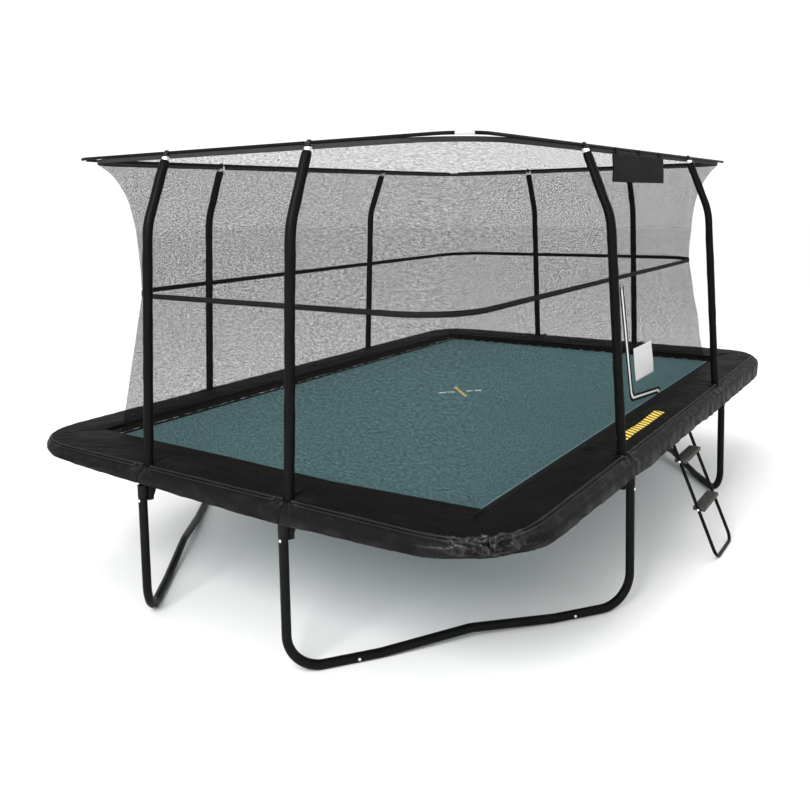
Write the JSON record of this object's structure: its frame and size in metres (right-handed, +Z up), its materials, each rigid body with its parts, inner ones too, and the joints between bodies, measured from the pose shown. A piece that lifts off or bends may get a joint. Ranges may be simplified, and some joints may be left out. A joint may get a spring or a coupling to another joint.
{
  "type": "trampoline",
  "caption": "Rectangular garden trampoline with a sprung mat, safety pad, net enclosure on bent poles and a hook-on ladder.",
  "frame": {"origin": "the point on the ground under the middle of the mat", "axes": "+Z up, +X along the long side, -Y towards the side with the door and the ladder"},
  "size_m": [5.403, 3.8225, 2.694],
  "materials": {
    "black_steel": "satin black powder coat on steel tube",
    "zinc_bolt": "zinc plated",
    "white_cap": "white plastic cap over a bolt head",
    "foam_sleeve": "black woven cover over foam",
    "black_plastic": "moulded black plastic",
    "black_rod": "black glass fibre rod",
    "plated_joint": "plated steel",
    "net_cloth": "fine black knitted netting",
    "webbing": "black woven webbing",
    "zip_tape": "black tape with a pale zip",
    "white_card": "blank white card",
    "black_cloth": "plain black coated cloth",
    "zinc_spring": "zinc plated spring wire",
    "mat_cloth": "teal woven jumping cloth",
    "pad_cover": "matt black coated cover over foam",
    "grey_plastic": "dark grey ribbed tread"
  },
  "bodies": {
    "frame": {"door_card": "white_card", "door_zip": "zip_tape", "frame_bolts": "zinc_bolt", "frame_elbow_left_back": "black_steel", "frame_elbow_left_front": "black_steel", "frame_elbow_right_back": "black_steel", "frame_elbow_right_front": "black_steel", "frame_rail_back": "black_steel", "frame_rail_front": "black_steel", "frame_rail_left": "black_steel", "frame_rail_right": "black_steel", "leg_base_left_back": "black_steel", "leg_base_left_front": "black_steel", "leg_base_right_back": "black_steel", "leg_base_right_front": "black_steel", "leg_left_back_long": "black_steel", "leg_left_back_short": "black_steel", "leg_left_front_long": "black_steel", "leg_left_front_short": "black_steel", "leg_right_back_long": "black_steel", "leg_right_back_short": "black_steel", "leg_right_front_long": "black_steel", "leg_right_front_short": "black_steel", "mat_edge": "webbing", "mat_rings": "zinc_bolt", "net_back": "net_cloth", "net_band": "webbing", "net_front": "net_cloth", "net_hem": "webbing", "net_left": "net_cloth", "net_right": "net_cloth", "pad_back": "pad_cover", "pad_front": "pad_cover", "pad_left": "pad_cover", "pad_right": "pad_cover", "pole_back_left": "black_steel", "pole_back_right": "black_steel", "pole_brackets": "black_steel", "pole_caps": "black_plastic", "pole_front_left": "black_steel", "pole_front_right": "black_steel", "pole_left_back": "black_steel", "pole_left_front": "black_steel", "pole_right_back": "black_steel", "pole_right_front": "black_steel", "pole_sleeves": "foam_sleeve", "ring_board": "black_cloth", "ring_elbows": "plated_joint", "ring_rods": "black_rod", "springs_back": "zinc_spring", "springs_front": "zinc_spring", "springs_left": "zinc_spring", "springs_right": "zinc_spring"},
    "mat": {"jump_mat": "mat_cloth"},
    "ladder": {"ladder_frame": "black_steel", "ladder_steps": "grey_plastic", "ladder_bolts": "white_cap"},
    "slider": {"zip_slider": "plated_joint"}
  },
  "joints": [
    {"name": "mat_bounce", "type": "slide", "parent": "frame", "child": "mat", "axis": [0, 0, 1], "range_m": [-0.3, 0], "stiffness_N_per_m": 6000, "springref_m": 0.06},
    {"name": "ladder_swing", "type": "hinge", "parent": "frame", "child": "ladder", "pos_m": [0.04, -1.635, 0.85], "axis": [-1, 0, 0], "range_deg": [0, 20]},
    {"name": "zip_travel", "type": "slide", "parent": "frame", "child": "slider", "axis": [0.0351, -0.0883, -0.9955], "range_m": [0, 0.7]}
  ]
}
